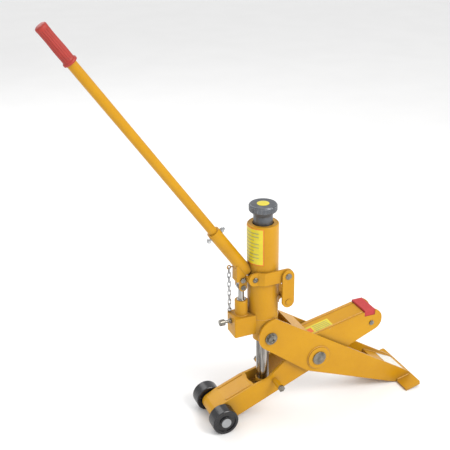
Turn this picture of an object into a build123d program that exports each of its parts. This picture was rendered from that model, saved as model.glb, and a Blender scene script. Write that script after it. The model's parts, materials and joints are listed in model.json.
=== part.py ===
from build123d import *
import os
from math import asin, cos, radians, sin, tan

# Hydraulic toe jack with a scissor frame, for lifting forklifts and machines.
#
# Design frame, millimetres: x runs from the wheel axle to the toe, y across the jack with
# the near side negative, z up from the ground. save() moves every piece so that the
# origin is at the bottom centre of the whole jack's box.
# The hydraulic unit is drawn upright and then leans by UNIT_LEAN about its trunnion.

# --- driving dimensions ---------------------------------------------------------------
OVERALL_LEFT = -414.68
OVERALL_RIGHT = 627.41

AXLE = (0.0, 37.5)
PIVOT = (298.4, 158.8)
TRUNNION = (146.6, 256.0)
RAM_TIP = (146.6, 95.0)
STOP_PEG = (167.0, 107.0)
SADDLE_PIN = (476.6, 225.0)
PLUNGER_EYE = (77.0, 411.0)
LEVER_BOLT = (101.5, 440.0)
YOKE_BOLT = (75.0, 434.5)
FULCRUM = (190.6, 441.9)
LUG_PIN = (192.0, 365.3)

UNIT_LEAN = -0.9
RAM_AXIS_X = 144.1

RUN = 0.05

# Sideways stack, measured from the middle plane
BLOCK_SIDE = 28.0
LIFT_INNER = 30.0
LIFT_OUTER = 38.0
FOOT_INNER = 44.0
FOOT_OUTER = 50.0
BOSS_OUTER = 55.0
WHEEL_INNER = 42.6
WHEEL_OUTER = 80.6
FOOT_PLATE_SIDE = 102.0
LINK_INNER = 51.0
LINK_OUTER = 57.0
YOKE_INNER = 26.5
YOKE_OUTER = 32.5

PIVOT_PIN_R = 12.5
AXLE_R = 10.0
TRUNNION_R = 10.0
WHEEL_R = 37.5
FULCRUM_R = 6.0
LEVER_BOLT_R = 4.0
LUG_PIN_R = 5.5
PLUNGER_PIN_R = 5.0
PEG_R = 8.5

ARM_TOP_SLOPE = -0.626
LIFT_TOP_SLOPE = 0.2235
LIFT_BOTTOM_SLOPE = 0.4193
DECK = 8.0

RAM_R = 18.0
CYLINDER_R = 42.5
BLOCK_TOP = 312.0
CYLINDER_TOP = 587.0
HANDLE_ANGLE = 54.35

os.makedirs("parts", exist_ok=True)


# --- helpers --------------------------------------------------------------------------
def slab(sketch, low, high):
    """A sketch drawn in x and z, made solid from y = low to y = high."""
    return Pos(0, high, 0) * extrude(Plane.XZ * sketch, amount=high - low, dir=(0, -1, 0))


def bar(place, radius, low, high):
    """A round bar across the jack, from y = low to y = high."""
    return slab(Pos(place[0], place[1]) * Circle(radius), low, high)


def rod(x, y, radius, bottom, top):
    """An upright round rod."""
    standing = (Align.CENTER, Align.CENTER, Align.MIN)
    return Pos(x, y, bottom) * Cylinder(radius, top - bottom, align=standing)


def tube(x, y, outer, inner, bottom, top):
    return rod(x, y, outer, bottom, top) - rod(x, y, inner, bottom - 1, top + 1)


def ring(place, outer, inner, low, high):
    return bar(place, outer, low, high) - bar(place, inner, low - 1, high + 1)


def brick(x0, x1, y0, y1, z0, z1):
    corner = (Align.MIN, Align.MIN, Align.MIN)
    return Pos(x0, y0, z0) * Box(x1 - x0, y1 - y0, z1 - z0, align=corner)


def hexagon(place, across, low, high):
    """A hexagonal head or nut whose axis runs across the jack."""
    flats = RegularPolygon(across / 2, 6, major_radius=False)
    return slab(Pos(place[0], place[1]) * flats, low, high)


def both(shape):
    """The piece with its mirror image on the far side, as separate solids."""
    return Compound(children=[*shape.solids(), *mirror(shape, about=Plane.XZ).solids()])


def outline(corners, closing=()):
    """A face with straight sides between (x, z, radius) corners.

    A corner with a radius is rounded by a tangent arc. The closing edges join the last
    corner to the first one.
    """
    edges = list(closing)
    stops = []
    count = len(corners)
    for index, (x, z, radius) in enumerate(corners):
        here = Vector(x, z)
        if radius == 0:
            stops.append((here, here))
            continue
        before = (Vector(*corners[index - 1][:2]) - here).normalized()
        after = (Vector(*corners[(index + 1) % count][:2]) - here).normalized()
        half = radians(before.get_angle(after) / 2)
        reach = radius / tan(half)
        middle = here + (before + after).normalized() * (radius / sin(half) - radius)
        start = here + before * reach
        stop = here + after * reach
        edges.append(ThreePointArc(start, middle, stop))
        stops.append((start, stop))
    sides = count if not closing else count - 1
    for index in range(sides):
        edges.append(Line(stops[index][1], stops[(index + 1) % count][0]))
    return make_face(edges)


def strap(first, second, width):
    """A flat bar's face with round ends, between two pin centres."""
    ends = [Vector(*first), Vector(*second)]
    along = (ends[1] - ends[0]).normalized()
    side = Vector(-along.Y, along.X) * (width / 2)
    tips = [ends[0] - along * (width / 2), ends[1] + along * (width / 2)]
    edges = [
        Line(ends[0] + side, ends[1] + side),
        ThreePointArc(ends[1] + side, tips[1], ends[1] - side),
        Line(ends[1] - side, ends[0] - side),
        ThreePointArc(ends[0] - side, tips[0], ends[0] + side),
    ]
    return make_face(edges)


def lean(shape):
    """Turn a piece of the hydraulic unit from its upright drawing place to its rest place."""
    hinge = Axis((TRUNNION[0], 0, TRUNNION[1]), (0, 1, 0))
    return shape.rotate(hinge, UNIT_LEAN)


def turned(point, degrees):
    """An (x, z) point turned about the trunnion in the same sense as lean()."""
    angle = radians(degrees)
    x = point[0] - TRUNNION[0]
    z = point[1] - TRUNNION[1]
    return (TRUNNION[0] + x * cos(angle) + z * sin(angle), TRUNNION[1] - x * sin(angle) + z * cos(angle))


def save(shape, name):
    centre = (OVERALL_LEFT + OVERALL_RIGHT) / 2
    export_step(Pos(-centre, 0, 0) * shape, f"parts/{name}.step")


def save_pair(shape, name):
    """Save the near piece and its mirror image as two nodes."""
    save(shape, f"{name}_near")
    save(mirror(shape, about=Plane.XZ), f"{name}_far")


# --- foot arm -------------------------------------------------------------------------
HEEL = (577.0, 0.0)
FOOT_TILT = 14.2
FOOT_THICK = 8.0
FOOT_LENGTH = 52.0
ARM_END_R = 35.0
ARM_TOP_START = (160.0, 314.2)
ARM_RIGHT = 618.5
BRIDGE = (212.0, 262.0)
TOE_DECK_START = (508.0, 79.7)


def arm_top(x):
    return ARM_TOP_START[1] + ARM_TOP_SLOPE * (x - ARM_TOP_START[0])


def foot_point(along, up):
    """A point given along the tilted foot plate and up from its underside."""
    angle = radians(FOOT_TILT)
    x = HEEL[0] + along * cos(angle) - up * sin(angle)
    return (x, HEEL[1] + along * sin(angle) + up * cos(angle))


def foot_top_at(x):
    return foot_point(0, FOOT_THICK)[1] + (x - foot_point(0, FOOT_THICK)[0]) * tan(radians(FOOT_TILT))


def foot_arm_plate():
    back = foot_point(0, FOOT_THICK)
    corners = [
        (125.2, 228.3, 0),
        (263.5, 121.7, 30),
        (574.2, 0.6, 0),
        (*foot_point(0, 0.63), 0),
        (*back, 0),
        (ARM_RIGHT, foot_top_at(ARM_RIGHT), 0),
        (ARM_RIGHT, arm_top(ARM_RIGHT), 0),
        (*ARM_TOP_START, 0),
    ]
    left = TRUNNION[0] - ARM_END_R
    low_turn = radians(206)
    low_middle = (TRUNNION[0] + ARM_END_R * cos(low_turn), TRUNNION[1] + ARM_END_R * sin(low_turn))
    closing = [
        ThreePointArc(ARM_TOP_START, (124.0, 297.0), (left, TRUNNION[1])),
        ThreePointArc((left, TRUNNION[1]), low_middle, (125.2, 228.3)),
    ]
    plate = slab(outline(corners, closing), -FOOT_OUTER, -FOOT_INNER)
    plate -= bar(TRUNNION, TRUNNION_R + RUN, -FOOT_OUTER - 1, -FOOT_INNER + 1)
    plate -= bar(PIVOT, PIVOT_PIN_R + RUN, -FOOT_OUTER - 1, -FOOT_INNER + 1)
    return plate


def foot_arm_bridge():
    left, right = BRIDGE
    face = Polygon(
        (left, arm_top(left)),
        (right, arm_top(right)),
        (right, arm_top(right) - DECK),
        (left, arm_top(left) - DECK),
        align=None,
    )
    return slab(face, -FOOT_INNER, FOOT_INNER)


def toe_deck():
    slope = (23.5 - TOE_DECK_START[1]) / (ARM_RIGHT - TOE_DECK_START[0])
    foot_slope = tan(radians(FOOT_TILT))
    drop = 9.0
    meet = ARM_RIGHT - (foot_top_at(ARM_RIGHT) - (23.5 - drop)) / (foot_slope - slope)
    face = Polygon(
        TOE_DECK_START,
        (ARM_RIGHT, 23.5),
        (ARM_RIGHT, foot_top_at(ARM_RIGHT)),
        (meet, foot_top_at(meet)),
        (TOE_DECK_START[0], TOE_DECK_START[1] - drop),
        align=None,
    )
    return slab(face, -FOOT_INNER, FOOT_INNER)


def foot_plate():
    face = Polygon(
        HEEL,
        foot_point(FOOT_LENGTH, 0),
        foot_point(FOOT_LENGTH, FOOT_THICK),
        foot_point(0, FOOT_THICK),
        align=None,
    )
    plate = slab(face, -FOOT_PLATE_SIDE, FOOT_PLATE_SIDE)
    corners = plate.edges().filter_by(Axis.Y, reverse=True).sort_by(Axis.X)[-2:]
    tips = [edge for edge in corners if edge.length < FOOT_THICK + 1]
    return fillet(tips, 6.0)


def pivot_boss():
    return ring(PIVOT, 33.5, PIVOT_PIN_R + RUN, -BOSS_OUTER, -FOOT_OUTER)


def domed_head(place, radius, low, high, dome):
    """A round head facing the near side, whose outer face is part of a sphere."""
    ball = (radius ** 2 + dome ** 2) / (2 * dome)
    rim = high - low - dome
    half_turn = asin(radius / ball) / 2
    middle = (ball * sin(half_turn), high - low - ball + ball * cos(half_turn))
    profile = make_face([
        Line((0, 0), (radius, 0)),
        Line((radius, 0), (radius, rim)),
        ThreePointArc((radius, rim), middle, (0, high - low)),
        Line((0, high - low), (0, 0)),
    ])
    turned_head = revolve(Plane.XZ * profile, Axis.Z)
    return Pos(place[0], high, place[1]) * Rot(90, 0, 0) * turned_head


def pivot_pin():
    shank = bar(PIVOT, PIVOT_PIN_R, -BOSS_OUTER - 2.0, 76.0)
    shank = chamfer(shank.edges().group_by(Axis.Y)[-1], 1.5)
    return shank + domed_head(PIVOT, 20.0, -BOSS_OUTER - 8.0, -BOSS_OUTER, 5.0)


def pivot_nut():
    nut = hexagon(PIVOT, 38.0, BOSS_OUTER, BOSS_OUTER + 15.0)
    nut -= bar(PIVOT, PIVOT_PIN_R + RUN, BOSS_OUTER - 1, BOSS_OUTER + 16)
    cone = domed_head(PIVOT, 21.5, -BOSS_OUTER - 15.0, -BOSS_OUTER, 3.0)
    return nut & mirror(cone, about=Plane.XZ)


def pivot_washer():
    return ring(PIVOT, 22.0, PIVOT_PIN_R + RUN, -FOOT_INNER + 0.1, -LIFT_OUTER - 0.1)


# --- lift arm -------------------------------------------------------------------------
LIFT_END_R = 24.5
LIFT_RIGHT = 511.0
LIFT_REAR = [(93.8, 104.0), (19.0, 74.6), (-14.8, 57.0)]
NOTCH = (452.0, 487.0)
NOTCH_DEPTH = 12.0
CRADLE_POCKET_R = 23.0
CRADLE_POCKET = (144.1, 92.0)
RAM_CLEAR_R = 44.0


def lift_top(x):
    return 260.2 + LIFT_TOP_SLOPE * (x - 446.8)


def lift_bottom(x):
    return 20.6 + LIFT_BOTTOM_SLOPE * (x - 60.7)


def lift_arm_plate():
    corners = [
        (0, AXLE[1] - LIFT_END_R, 0),
        (42.6, AXLE[1] - LIFT_END_R, 25),
        (LIFT_RIGHT, lift_bottom(LIFT_RIGHT), 32),
        (LIFT_RIGHT, lift_top(LIFT_RIGHT), 32),
        (262.0, lift_top(262.0), 20),
        (143.0, 114.9, 25),
        *[(x, z, 0) for x, z in LIFT_REAR],
    ]
    closing = [ThreePointArc(LIFT_REAR[-1], (AXLE[0] - LIFT_END_R, AXLE[1]), (0, AXLE[1] - LIFT_END_R))]
    plate = slab(outline(corners, closing), -LIFT_OUTER, -LIFT_INNER)
    floor = lift_top(NOTCH[0]) - NOTCH_DEPTH
    plate -= brick(NOTCH[0], NOTCH[1], -LIFT_OUTER - 1, -LIFT_INNER + 1, floor, floor + 60)
    for place, radius in [(AXLE, AXLE_R), (PIVOT, PIVOT_PIN_R), (SADDLE_PIN, 5.0), (STOP_PEG, 4.0)]:
        plate -= bar(place, radius + RUN, -LIFT_OUTER - 1, -LIFT_INNER + 1)
    return plate


def rear_deck():
    """Deck between the plates, which curls down behind the axle and clears the ram."""
    thick = 6.0
    upper = [(104.0, 106.2), *LIFT_REAR]
    lower = [(x + 1.5, z - thick) for x, z in reversed(upper)]
    plate = slab(Polygon(*upper, *lower, align=None), -LIFT_INNER, LIFT_INNER)
    curl = ring(AXLE, LIFT_END_R, LIFT_END_R - thick, -LIFT_INNER, LIFT_INNER)
    curl &= brick(-LIFT_END_R - 1, -13.5, -LIFT_OUTER, LIFT_OUTER, 24.0, 62.0)
    return plate + curl - rod(RAM_AXIS_X, 0, RAM_CLEAR_R, 40, 140)


def front_deck():
    left, right = 255.0, NOTCH[0]
    corners = [
        (left, 212.9, 0),
        (262.0, lift_top(262.0), 20),
        (right, lift_top(right), 0),
        (right, lift_top(right) - DECK, 0),
        (264.0, lift_top(264.0) - DECK, 12),
        (left + 5.3, 206.9, 0),
    ]
    return slab(outline(corners), -LIFT_INNER, LIFT_INNER)


def pivot_sleeve():
    return ring(PIVOT, 20.0, PIVOT_PIN_R + RUN, -LIFT_INNER, LIFT_INNER)


def axle_sleeve():
    return ring(AXLE, 17.0, AXLE_R + RUN, -LIFT_INNER, LIFT_INNER)


def axle():
    ends = bar(AXLE, AXLE_R, -82.0, 82.0)
    rims = ends.edges().filter_by(GeomType.CIRCLE)
    return chamfer(rims, 1.0)


def axle_washer():
    return ring(AXLE, 17.0, AXLE_R + RUN, -WHEEL_INNER + 0.3, -LIFT_OUTER)


def axle_end_cap():
    cap = bar(AXLE, 14.0, -84.5, -80.9)
    cap -= bar(AXLE, AXLE_R + RUN, -82.05, -80)
    return chamfer(cap.edges().group_by(Axis.Y)[0], 1.0)


def ram_cradle():
    left, right, top, lift = 116.0, 176.0, 78.0, 2.0
    face = Polygon(
        (left, lift_bottom(left) + lift),
        (right, lift_bottom(right) + lift),
        (right, top),
        (left, top),
        align=None,
    )
    block = slab(face, -LIFT_INNER, LIFT_INNER)
    return block - Pos(CRADLE_POCKET[0], 0, CRADLE_POCKET[1]) * Sphere(CRADLE_POCKET_R)


def stop_peg():
    return ring(STOP_PEG, PEG_R, 4.0 + RUN, -78.0, -LIFT_OUTER)


def stop_peg_bolt():
    return bar(STOP_PEG, 4.0, -78.0, -LIFT_INNER) + hexagon(STOP_PEG, 17.0, -85.0, -78.0)


def saddle_pad():
    floor = lift_top(NOTCH[0]) - NOTCH_DEPTH
    pad = brick(NOTCH[0] + 0.5, NOTCH[1] - 0.5, -LIFT_OUTER + 1, LIFT_OUTER - 1, floor, floor + 19.5)
    return fillet(pad.edges().group_by(Axis.Z)[-1], 2.0)


def saddle_block():
    floor = lift_top(NOTCH[0]) - NOTCH_DEPTH
    block = brick(NOTCH[0], NOTCH[1], -LIFT_INNER, LIFT_INNER, SADDLE_PIN[1] - 14, floor)
    return block - bar(SADDLE_PIN, 5.0 + RUN, -LIFT_INNER - 1, LIFT_INNER + 1)


def saddle_pin():
    pin = bar(SADDLE_PIN, 5.0, -LIFT_OUTER, LIFT_OUTER)
    return pin + bar(SADDLE_PIN, 7.0, -41.0, -LIFT_OUTER) + bar(SADDLE_PIN, 7.0, LIFT_OUTER, 41.0)


# --- wheels ---------------------------------------------------------------------------
BUSH_R = 14.0


def wheel():
    disc = bar(AXLE, WHEEL_R, -WHEEL_OUTER, -WHEEL_INNER)
    disc = chamfer(disc.edges().filter_by(GeomType.CIRCLE), 2.0)
    disc -= ring(AXLE, 29.0, 18.0, -WHEEL_OUTER - 1, -WHEEL_OUTER + 3)
    disc -= ring(AXLE, 29.0, 18.0, -WHEEL_INNER - 3, -WHEEL_INNER + 1)
    return disc - bar(AXLE, BUSH_R, -WHEEL_OUTER - 1, -WHEEL_INNER + 1)


def wheel_bush():
    return ring(AXLE, BUSH_R, AXLE_R + RUN, -WHEEL_OUTER + 0.2, -WHEEL_INNER)


# --- hydraulic unit, drawn upright ----------------------------------------------------
NECK_BOTTOM = 236.0
BODY_BOTTOM = 269.0
BLOCK_LEFT = 49.0
UPRIGHT_EYE = turned(PLUNGER_EYE, -UNIT_LEAN)
UPRIGHT_LUG_PIN = turned(LUG_PIN, -UNIT_LEAN)
BARREL_X = UPRIGHT_EYE[0]
BARREL_FOOT = 326.0
BARREL_TOP = 370.0
BARREL_R = 18.0
PLUNGER_R = 8.0
PRESSURE_R = 30.0
PRESSURE_BORE_R = 25.0
KNOB_STEM_R = 26.0
KNOB_TOP = CYLINDER_TOP + 53.5
VALVE_X = 49.0
VALVE_Z = 310.0
FILLER_Z = 500.0
CHAIN_FOOT = (54.0, 22.0)
EYE_LOOP_R = 4.8
EYE_WIRE_R = 1.6


def pump_block():
    block = brick(BLOCK_LEFT, RAM_AXIS_X, -BLOCK_SIDE, BLOCK_SIDE, BODY_BOTTOM, BARREL_FOOT)
    block = fillet(block.edges().filter_by(Axis.Z).group_by(Axis.X)[0], 4.0)
    block -= rod(RAM_AXIS_X, 0, CYLINDER_R + 0.3, BLOCK_TOP, BARREL_FOOT + 1)
    block += rod(RAM_AXIS_X, 0, CYLINDER_R, BODY_BOTTOM, BLOCK_TOP)
    block += rod(RAM_AXIS_X, 0, 28.0, NECK_BOTTOM, BODY_BOTTOM)
    block += bar(TRUNNION, 19.0, -FOOT_INNER + 0.4, FOOT_INNER - 0.4)
    block -= rod(RAM_AXIS_X, 0, RAM_R + RUN, NECK_BOTTOM - 1, BLOCK_TOP + 1)
    block -= rod(BARREL_X, 0, PLUNGER_R + RUN, BARREL_FOOT - 34, BARREL_FOOT + 1)
    for side in (-1, 1):
        near, far = sorted([side * 22.0, side * FOOT_INNER])
        block -= bar(TRUNNION, TRUNNION_R + RUN, near, far)
    port = Pos(BLOCK_LEFT, 0, VALVE_Z) * Rot(0, 90, 0) * Cylinder(4.0 + RUN, 44.0)
    return block - port


def trunnion_bolt():
    shank = bar(TRUNNION, TRUNNION_R, -FOOT_OUTER - 4.0, -22.5)
    washer = bar(TRUNNION, 17.5, -FOOT_OUTER - 3.3, -FOOT_OUTER - 0.3)
    head = domed_head(TRUNNION, 12.0, -FOOT_OUTER - 12.3, -FOOT_OUTER - 3.3, 3.0)
    socket = hexagon(TRUNNION, 10.0, -FOOT_OUTER - 13.0, -FOOT_OUTER - 8.0)
    return shank + washer + head - socket


def cylinder_tube():
    """Outer tube, which holds the oil, with the filler hole on its far side."""
    wall = tube(RAM_AXIS_X, 0, CYLINDER_R, 38.5, BLOCK_TOP, CYLINDER_TOP)
    wall = chamfer(wall.edges().group_by(Axis.Z)[-1].sort_by(SortBy.RADIUS)[-1], 2.5)
    return wall - Pos(RAM_AXIS_X, CYLINDER_R, FILLER_Z) * Rot(90, 0, 0) * Cylinder(5.0 + RUN, 12.0)


def cylinder_clearance():
    """The outer tube at rest with room around it, for trimming what stands beside it."""
    return lean(rod(RAM_AXIS_X, 0, CYLINDER_R + 1.0, 380, 520))


def pressure_tube():
    return tube(RAM_AXIS_X, 0, PRESSURE_R, PRESSURE_BORE_R, BLOCK_TOP, CYLINDER_TOP - 19)


def top_cap():
    cap = rod(RAM_AXIS_X, 0, 38.5, CYLINDER_TOP - 19, CYLINDER_TOP - 0.6)
    cap -= rod(RAM_AXIS_X, 0, KNOB_STEM_R + 2.5, CYLINDER_TOP - 9, CYLINDER_TOP)
    return cap - rod(RAM_AXIS_X, 0, 8.0 + RUN, CYLINDER_TOP - 20, CYLINDER_TOP)


def filler_plug():
    """Oil filler screw on the far side of the reservoir tube, with a driver slot."""
    seat = Pos(RAM_AXIS_X, CYLINDER_R, FILLER_Z) * Rot(90, 0, 0)
    stem = seat * Cylinder(5.0, 8.0)
    head = seat * Pos(0, 0, -2.7) * Cylinder(9.0, 5.0)
    slot = Pos(RAM_AXIS_X, CYLINDER_R + 5.0, FILLER_Z) * Box(14.0, 2.4, 2.0)
    return stem + head - slot


def link_lug():
    corners = [
        (RAM_AXIS_X + 30.0, 436.0, 0),
        (RAM_AXIS_X + 30.0, 338.0, 0),
        (188.0, 345.0, 0),
        (209.0, 358.0, 8),
        (206.0, 380.0, 10),
        (187.5, 410.0, 0),
    ]
    lug = slab(outline(corners), -8.0, 8.0)
    lug -= rod(RAM_AXIS_X, 0, CYLINDER_R, 300, 480)
    return lug - bar(UPRIGHT_LUG_PIN, LUG_PIN_R + 1.0, -20, 20)


def pump_barrel():
    barrel = tube(BARREL_X, 0, BARREL_R, PLUNGER_R + RUN, BARREL_FOOT, BARREL_TOP)
    seat = rod(BARREL_X, 0, 12.0, BARREL_TOP - 8, BARREL_TOP + 1)
    barrel -= seat
    return chamfer(barrel.edges().group_by(Axis.Z)[-1].sort_by(SortBy.LENGTH)[-1], 1.5)


def pump_gland():
    return tube(BARREL_X, 0, 12.0 - RUN, PLUNGER_R + RUN, BARREL_TOP - 8, BARREL_TOP + 2)


def eye_ring(x, y, z):
    """A wire ring standing in the x and z plane."""
    return Pos(x, y, z) * Rot(90, 0, 0) * Torus(EYE_LOOP_R, EYE_WIRE_R)


CHAIN_EYE_Z = BARREL_FOOT + 6.5


def chain_eye():
    x, y = CHAIN_FOOT
    post = rod(x, y, EYE_WIRE_R, BARREL_FOOT, BARREL_FOOT + 3.2)
    return post + eye_ring(x, y, CHAIN_EYE_Z)


# --- safety chain ---------------------------------------------------------------------
CHAIN_TOP = (46.5, 12.5, 466.0)
LINK_COUNT = 9
LINK_WIRE_R = 1.5
LINK_WIDTH = 4.0
LINK_SLACK = 0.3


def chain_link(inside):
    """One link along z, with straight sides and half-round ends."""
    half = inside / 2 + LINK_WIRE_R - LINK_WIDTH
    path = Wire([
        Line((LINK_WIDTH, 0, -half), (LINK_WIDTH, 0, half)),
        ThreePointArc((LINK_WIDTH, 0, half), (0, 0, half + LINK_WIDTH), (-LINK_WIDTH, 0, half)),
        Line((-LINK_WIDTH, 0, half), (-LINK_WIDTH, 0, -half)),
        ThreePointArc((-LINK_WIDTH, 0, -half), (0, 0, -half - LINK_WIDTH), (LINK_WIDTH, 0, -half)),
    ])
    start = Plane(origin=(LINK_WIDTH, 0, -half), z_dir=(0, 0, 1))
    return sweep(start * Circle(LINK_WIRE_R), path=path)


def chain():
    """Taut links from the eye on the block up to the eye on the lever's yoke."""
    foot_x, foot_z = turned((CHAIN_FOOT[0], CHAIN_EYE_Z), UNIT_LEAN)
    foot = Vector(foot_x, CHAIN_FOOT[1], foot_z)
    run = Vector(*CHAIN_TOP) - foot
    along = run.normalized()
    inset = EYE_LOOP_R - EYE_WIRE_R
    pitch = (run.length - 2 * inset) / LINK_COUNT
    links = []
    for index in range(LINK_COUNT):
        centre = foot + along * (inset + pitch * (index + 0.5))
        place = Plane(origin=centre, x_dir=(0, 1, 0), z_dir=along)
        turn = Rot(0, 0, 90 * (index % 2))
        links.append(place.location * turn * chain_link(pitch + LINK_SLACK))
    return Compound(children=[solid for link in links for solid in link.solids()])


# --- ram ------------------------------------------------------------------------------
RAM_TOP = 430.0


def ram_rod():
    rod_body = rod(RAM_AXIS_X, 0, RAM_R, RAM_TIP[1] + 9, RAM_TOP - 14)
    stub = rod(RAM_AXIS_X, 0, 10.0, RAM_TOP - 14, RAM_TOP + 4)
    return rod_body + stub


def piston():
    return tube(RAM_AXIS_X, 0, PRESSURE_BORE_R - 0.1, 10.0 + RUN, RAM_TOP - 14, RAM_TOP) - piston_groove()


def piston_groove():
    return tube(RAM_AXIS_X, 0, PRESSURE_BORE_R + 1, 21.0, RAM_TOP - 10, RAM_TOP - 5)


def piston_seal():
    return tube(RAM_AXIS_X, 0, PRESSURE_BORE_R - 0.06, 21.0 + RUN, RAM_TOP - 9.95, RAM_TOP - 5.05)


def ram_foot():
    collar = rod(RAM_AXIS_X, 0, 20.0, RAM_TIP[1] - 3, RAM_TIP[1] + 9)
    tip = Pos(RAM_AXIS_X, 0, RAM_TIP[1]) * Sphere(RAM_R)
    tip &= brick(RAM_AXIS_X - 30, RAM_AXIS_X + 30, -30, 30, RAM_TIP[1] - 30, RAM_TIP[1])
    drill = Pos(RAM_AXIS_X, -18, RAM_TIP[1] + 4) * Rot(90, 0, 0) * Cylinder(2.0, 8.0)
    return collar + tip - drill


# --- pump plunger and lever -----------------------------------------------------------
SOCKET_FOOT = (91.0, 452.0)
SOCKET_TOP = (-5.0, 583.0)
SOCKET_R = 17.5
HANDLE_R = 12.6
HANDLE_TIP = (-402.0, 1140.0)
GRIP_R = 15.0
GRIP_LENGTH = 104.0
BAR_WIDTH = 37.0
BAR_THICK = 6.0
EYE_SIDE = 9.0
EAR_INNER = 9.3
EAR_OUTER = 15.3
EAR_LEFT = 58.0
YOKE_LEFT = 84.0


def handle_plane(point):
    """A plane across the handle's axis at a point of it, facing up the handle."""
    angle = radians(HANDLE_ANGLE)
    return Plane(origin=(point[0], 0, point[1]), x_dir=(0, 1, 0), z_dir=(-cos(angle), 0, sin(angle)))


def handle_rod(radius, start, stop):
    """A round bar along the handle, from start to stop, measured from the socket's foot."""
    plane = handle_plane(SOCKET_FOOT)
    standing = (Align.CENTER, Align.CENTER, Align.MIN)
    return plane.location * Pos(0, 0, start) * Cylinder(radius, stop - start, align=standing)


def along_handle(point):
    """How far up the handle from the socket's foot a point lies."""
    angle = radians(HANDLE_ANGLE)
    return (SOCKET_FOOT[0] - point[0]) * cos(angle) + (point[1] - SOCKET_FOOT[1]) * sin(angle)


SOCKET_LENGTH = along_handle(SOCKET_TOP)
HANDLE_LENGTH = along_handle(HANDLE_TIP)
BOLT_AT = SOCKET_LENGTH - 14.0


def pump_plunger():
    x, z = UPRIGHT_EYE
    plunger = rod(x, 0, PLUNGER_R, BARREL_FOOT + 2, z - 8)
    plunger += bar(UPRIGHT_EYE, 12.0, -EYE_SIDE, EYE_SIDE)
    return plunger - bar(UPRIGHT_EYE, PLUNGER_PIN_R + RUN, -EYE_SIDE - 1, EYE_SIDE + 1)


def lever_bar():
    """Flat bar from the fulcrum, set inwards at its left end to meet the yoke's cheek."""
    wide = strap(LEVER_BOLT, FULCRUM, BAR_WIDTH)
    plan = Polygon(
        (60, -YOKE_OUTER - BAR_THICK),
        (108.5, -YOKE_OUTER - BAR_THICK),
        (124, -FOOT_OUTER),
        (240, -FOOT_OUTER),
        (240, -FOOT_INNER),
        (126, -FOOT_INNER),
        (110.5, -YOKE_OUTER),
        (60, -YOKE_OUTER),
        align=None,
    )
    bent = Pos(0, 0, 380) * extrude(plan, amount=120, dir=(0, 0, 1))
    piece = slab(wide, -FOOT_OUTER - 1, -YOKE_OUTER + 1) & bent
    piece -= bar(LEVER_BOLT, LEVER_BOLT_R + RUN, -60, -10)
    return piece - bar(FULCRUM, FULCRUM_R + RUN, -60, -10)


def handle_socket():
    """Socket for the handle tube, coped at its foot to clear the cylinder."""
    socket = handle_rod(SOCKET_R, 0, SOCKET_LENGTH)
    socket -= handle_rod(HANDLE_R + 0.4, 24, SOCKET_LENGTH + 1)
    return socket - cylinder_clearance() - bolt_hole()


def bolt_hole():
    plane = handle_plane(SOCKET_FOOT)
    return plane.location * Pos(0, 0, BOLT_AT) * Rot(90, 0, 90) * Cylinder(4.0 + RUN, 80.0)


def lever_yoke():
    """Two ears for the plunger pin under the socket, a cross bar, and a cheek at each lever bar."""
    cheek = slab(outline([
        (YOKE_LEFT, 432.0, 4),
        (92.0, 424.6, 0),
        (108.0, 424.6, 0),
        (108.0, 454.0, 8),
        (94.0, 454.0, 8),
        (YOKE_LEFT, 447.0, 0),
    ]), -YOKE_OUTER, -YOKE_INNER) - cylinder_clearance()
    ear = slab(strap(PLUNGER_EYE, (PLUNGER_EYE[0], 436.0), 22.0), -EAR_OUTER, -EAR_INNER)
    below_socket = [(EAR_LEFT, 430, 0), (92, 430, 0), (92, 450, 0), (71.5, 478, 0), (EAR_LEFT, 478, 0)]
    ear += slab(outline(below_socket), -EAR_OUTER, -EAR_INNER)
    cross = brick(YOKE_LEFT, 92.0, -YOKE_INNER, YOKE_INNER, 432.0, 446.0)
    web = brick(EAR_LEFT, EAR_LEFT + 6.0, -EAR_INNER, EAR_INNER, 430.0, 478.0)
    x, y, z = CHAIN_TOP
    stem = Pos((x + EYE_LOOP_R + EAR_LEFT + 1.0) / 2, y, z) * Rot(0, 90, 0)
    stem *= Cylinder(EYE_WIRE_R, EAR_LEFT + 1.0 - x - EYE_LOOP_R)
    middle = web + cross + ear + mirror(ear, about=Plane.XZ) - handle_rod(SOCKET_R, -30, SOCKET_LENGTH)
    yoke = middle + cheek + mirror(cheek, about=Plane.XZ) + stem + eye_ring(*CHAIN_TOP)
    for place, radius in [(PLUNGER_EYE, PLUNGER_PIN_R), (LEVER_BOLT, LEVER_BOLT_R), (YOKE_BOLT, 4.0)]:
        yoke -= bar(place, radius + RUN, -40, 40)
    return yoke


def plunger_pin():
    """Pin through the plunger's eye and the yoke's ears, with a button at each end."""
    pin = bar(PLUNGER_EYE, PLUNGER_PIN_R, -EAR_OUTER - 1.0, EAR_OUTER + 1.0)
    return pin + both(bar(PLUNGER_EYE, 7.0, -EAR_OUTER - 2.5, -EAR_OUTER - 0.2))


def lever_bolt():
    """Button-head bolt through a lever bar and a cheek, with its nut inside the yoke."""
    outside = -YOKE_OUTER - BAR_THICK
    shank = bar(LEVER_BOLT, LEVER_BOLT_R, outside - 1.0, -YOKE_INNER + 5)
    head = domed_head(LEVER_BOLT, 7.0, outside - 5.0, outside, 2.5)
    socket = hexagon(LEVER_BOLT, 4.5, outside - 6, outside - 2.5)
    nut = bar(LEVER_BOLT, 5.5, -YOKE_INNER, -YOKE_INNER + 5)
    return shank + head + nut - socket - cylinder_clearance()


def yoke_bolt():
    """Bolt across the ears, above the plunger pin."""
    shank = bar(YOKE_BOLT, 4.0, -EAR_OUTER, EAR_OUTER)
    head = hexagon(YOKE_BOLT, 13.0, -EAR_OUTER - 5.0, -EAR_OUTER)
    nut = hexagon(YOKE_BOLT, 13.0, EAR_OUTER, EAR_OUTER + 6.0)
    return shank + head + nut


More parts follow.
